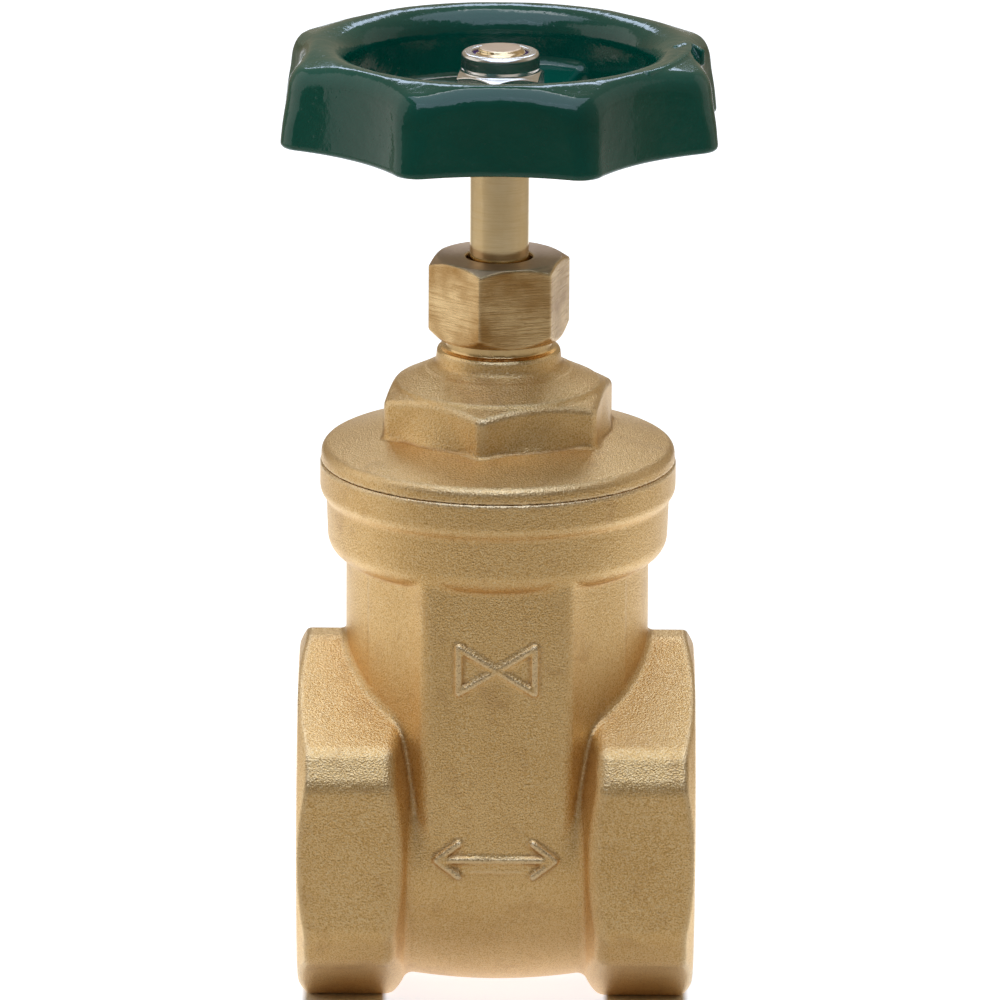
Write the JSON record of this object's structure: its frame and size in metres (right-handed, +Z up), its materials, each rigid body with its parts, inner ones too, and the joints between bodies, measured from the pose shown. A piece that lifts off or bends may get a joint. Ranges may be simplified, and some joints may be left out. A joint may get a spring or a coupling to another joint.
{
  "type": "gate valve",
  "caption": "Threaded brass gate valve: a lobed handwheel turns a captive stem that lifts a wedge between two hexagon-ended female pipe ports.",
  "frame": {"origin": "on the plane of the lowest collar corners, which the valve stands on, under the stem axis", "axes": "+X along the pipe from inlet to outlet, +Z up the stem towards the handwheel, -Y towards the front panel"},
  "size_m": [0.069, 0.069, 0.1568],
  "materials": {
    "forged_brass": "bead-blasted forging, matt",
    "machined_brass": "turned, satin with tool marks",
    "polished_brass": "polished bar",
    "green_enamel": "glossy enamel",
    "bright_steel": "bright stainless steel",
    "blue_nylon": "moulded nylon",
    "ptfe": "sintered PTFE, waxy",
    "gasket_fibre": "compressed fibre sheet",
    "black_rubber": "moulded rubber"
  },
  "bodies": {
    "valve_body": {"body": "forged_brass", "bonnet": "forged_brass", "bonnet_gasket": "gasket_fibre", "stem_lock_nut": "machined_brass", "lower_thrust_washer": "ptfe", "upper_thrust_washer": "ptfe", "packing_washer": "machined_brass", "packing_ring_lower": "ptfe", "packing_ring_middle": "ptfe", "packing_ring_upper": "ptfe", "gland_follower": "machined_brass", "packing_nut": "machined_brass"},
    "stem": {"stem": "polished_brass", "stem_o_ring": "black_rubber", "handwheel": "green_enamel", "wheel_washer": "bright_steel", "wheel_nut": "bright_steel", "wheel_nut_insert": "blue_nylon"},
    "wedge": {"wedge": "machined_brass"}
  },
  "joints": [
    {"name": "stem_turn", "type": "hinge", "parent": "valve_body", "child": "stem", "pos_m": [0, 0, 0.03005], "axis": [0, 0, 1], "range_deg": [0, 4500]},
    {"name": "wedge_lift", "type": "slide", "parent": "valve_body", "child": "wedge", "axis": [0, 0, 1], "range_m": [0, 0.0375]}
  ],
  "couplings": [
    {"joint": "wedge_lift", "follows": "stem_turn", "m_per_rad": 0.00047746}
  ]
}
